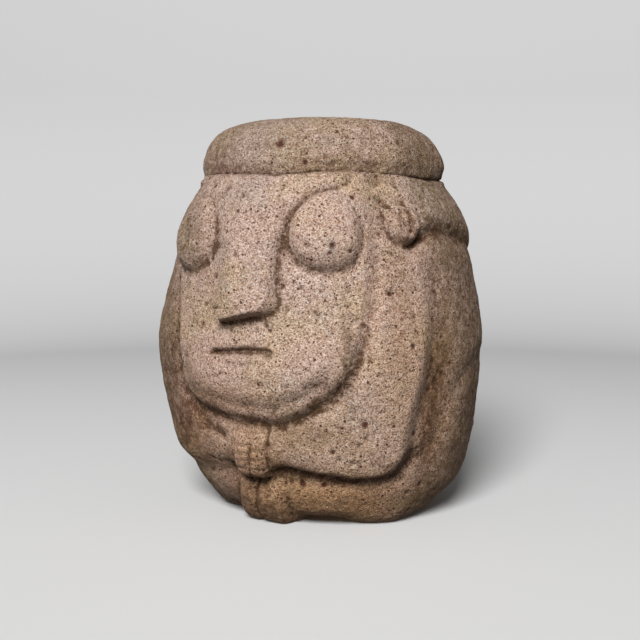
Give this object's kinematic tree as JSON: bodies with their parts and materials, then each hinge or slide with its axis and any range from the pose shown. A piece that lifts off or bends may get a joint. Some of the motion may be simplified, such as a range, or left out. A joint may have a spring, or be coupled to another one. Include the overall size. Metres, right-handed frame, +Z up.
{
  "type": "carved stone figure",
  "caption": "Squat carved stone figure with a large schematic face, thick rolled head band, ear ornaments and hands meeting under the chin; stands on its flat underside.",
  "frame": {"origin": "on the ground plane, under the middle of the figure's bounding box", "axes": "+Z up, through the head band; -Y the way the figure looks; +X towards the figure's left arm"},
  "size_m": [0.3554, 0.3333, 0.416],
  "materials": {
    "stone": "rough, pitted, pinkish beige volcanic stone with brown patina in the hollows"
  },
  "bodies": {
    "root": {"stone_figure": "stone"}
  },
  "joints": []
}
